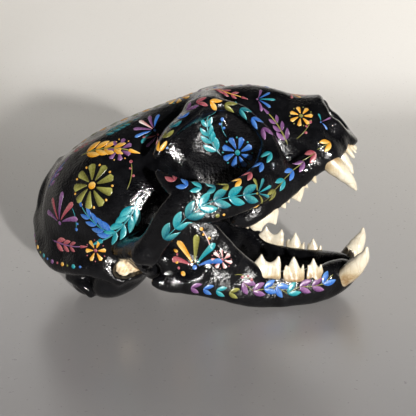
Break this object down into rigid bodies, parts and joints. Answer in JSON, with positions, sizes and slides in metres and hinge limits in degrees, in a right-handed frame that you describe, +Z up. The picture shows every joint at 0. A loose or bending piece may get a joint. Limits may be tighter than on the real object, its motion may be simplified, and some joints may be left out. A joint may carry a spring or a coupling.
{
  "type": "painted cat skull",
  "caption": "Life-size cat skull with an open lower jaw, gloss black bone with painted flower and leaf decoration and bare ivory teeth, lying on its jaws.",
  "frame": {"origin": "on the surface that the skull lies on, under the middle of its bounding box", "axes": "+X the way the nose points, +Y the animal's left side, +Z up"},
  "size_m": [0.0956, 0.0672, 0.0598],
  "materials": {
    "painted_bone": "gloss",
    "tooth_enamel": "satin"
  },
  "bodies": {
    "root": {"cranium": "painted_bone", "mandible_left": "painted_bone", "mandible_right": "painted_bone", "canine_upper_left": "tooth_enamel", "canine_upper_right": "tooth_enamel", "canine_lower_left": "tooth_enamel", "canine_lower_right": "tooth_enamel"}
  },
  "joints": []
}
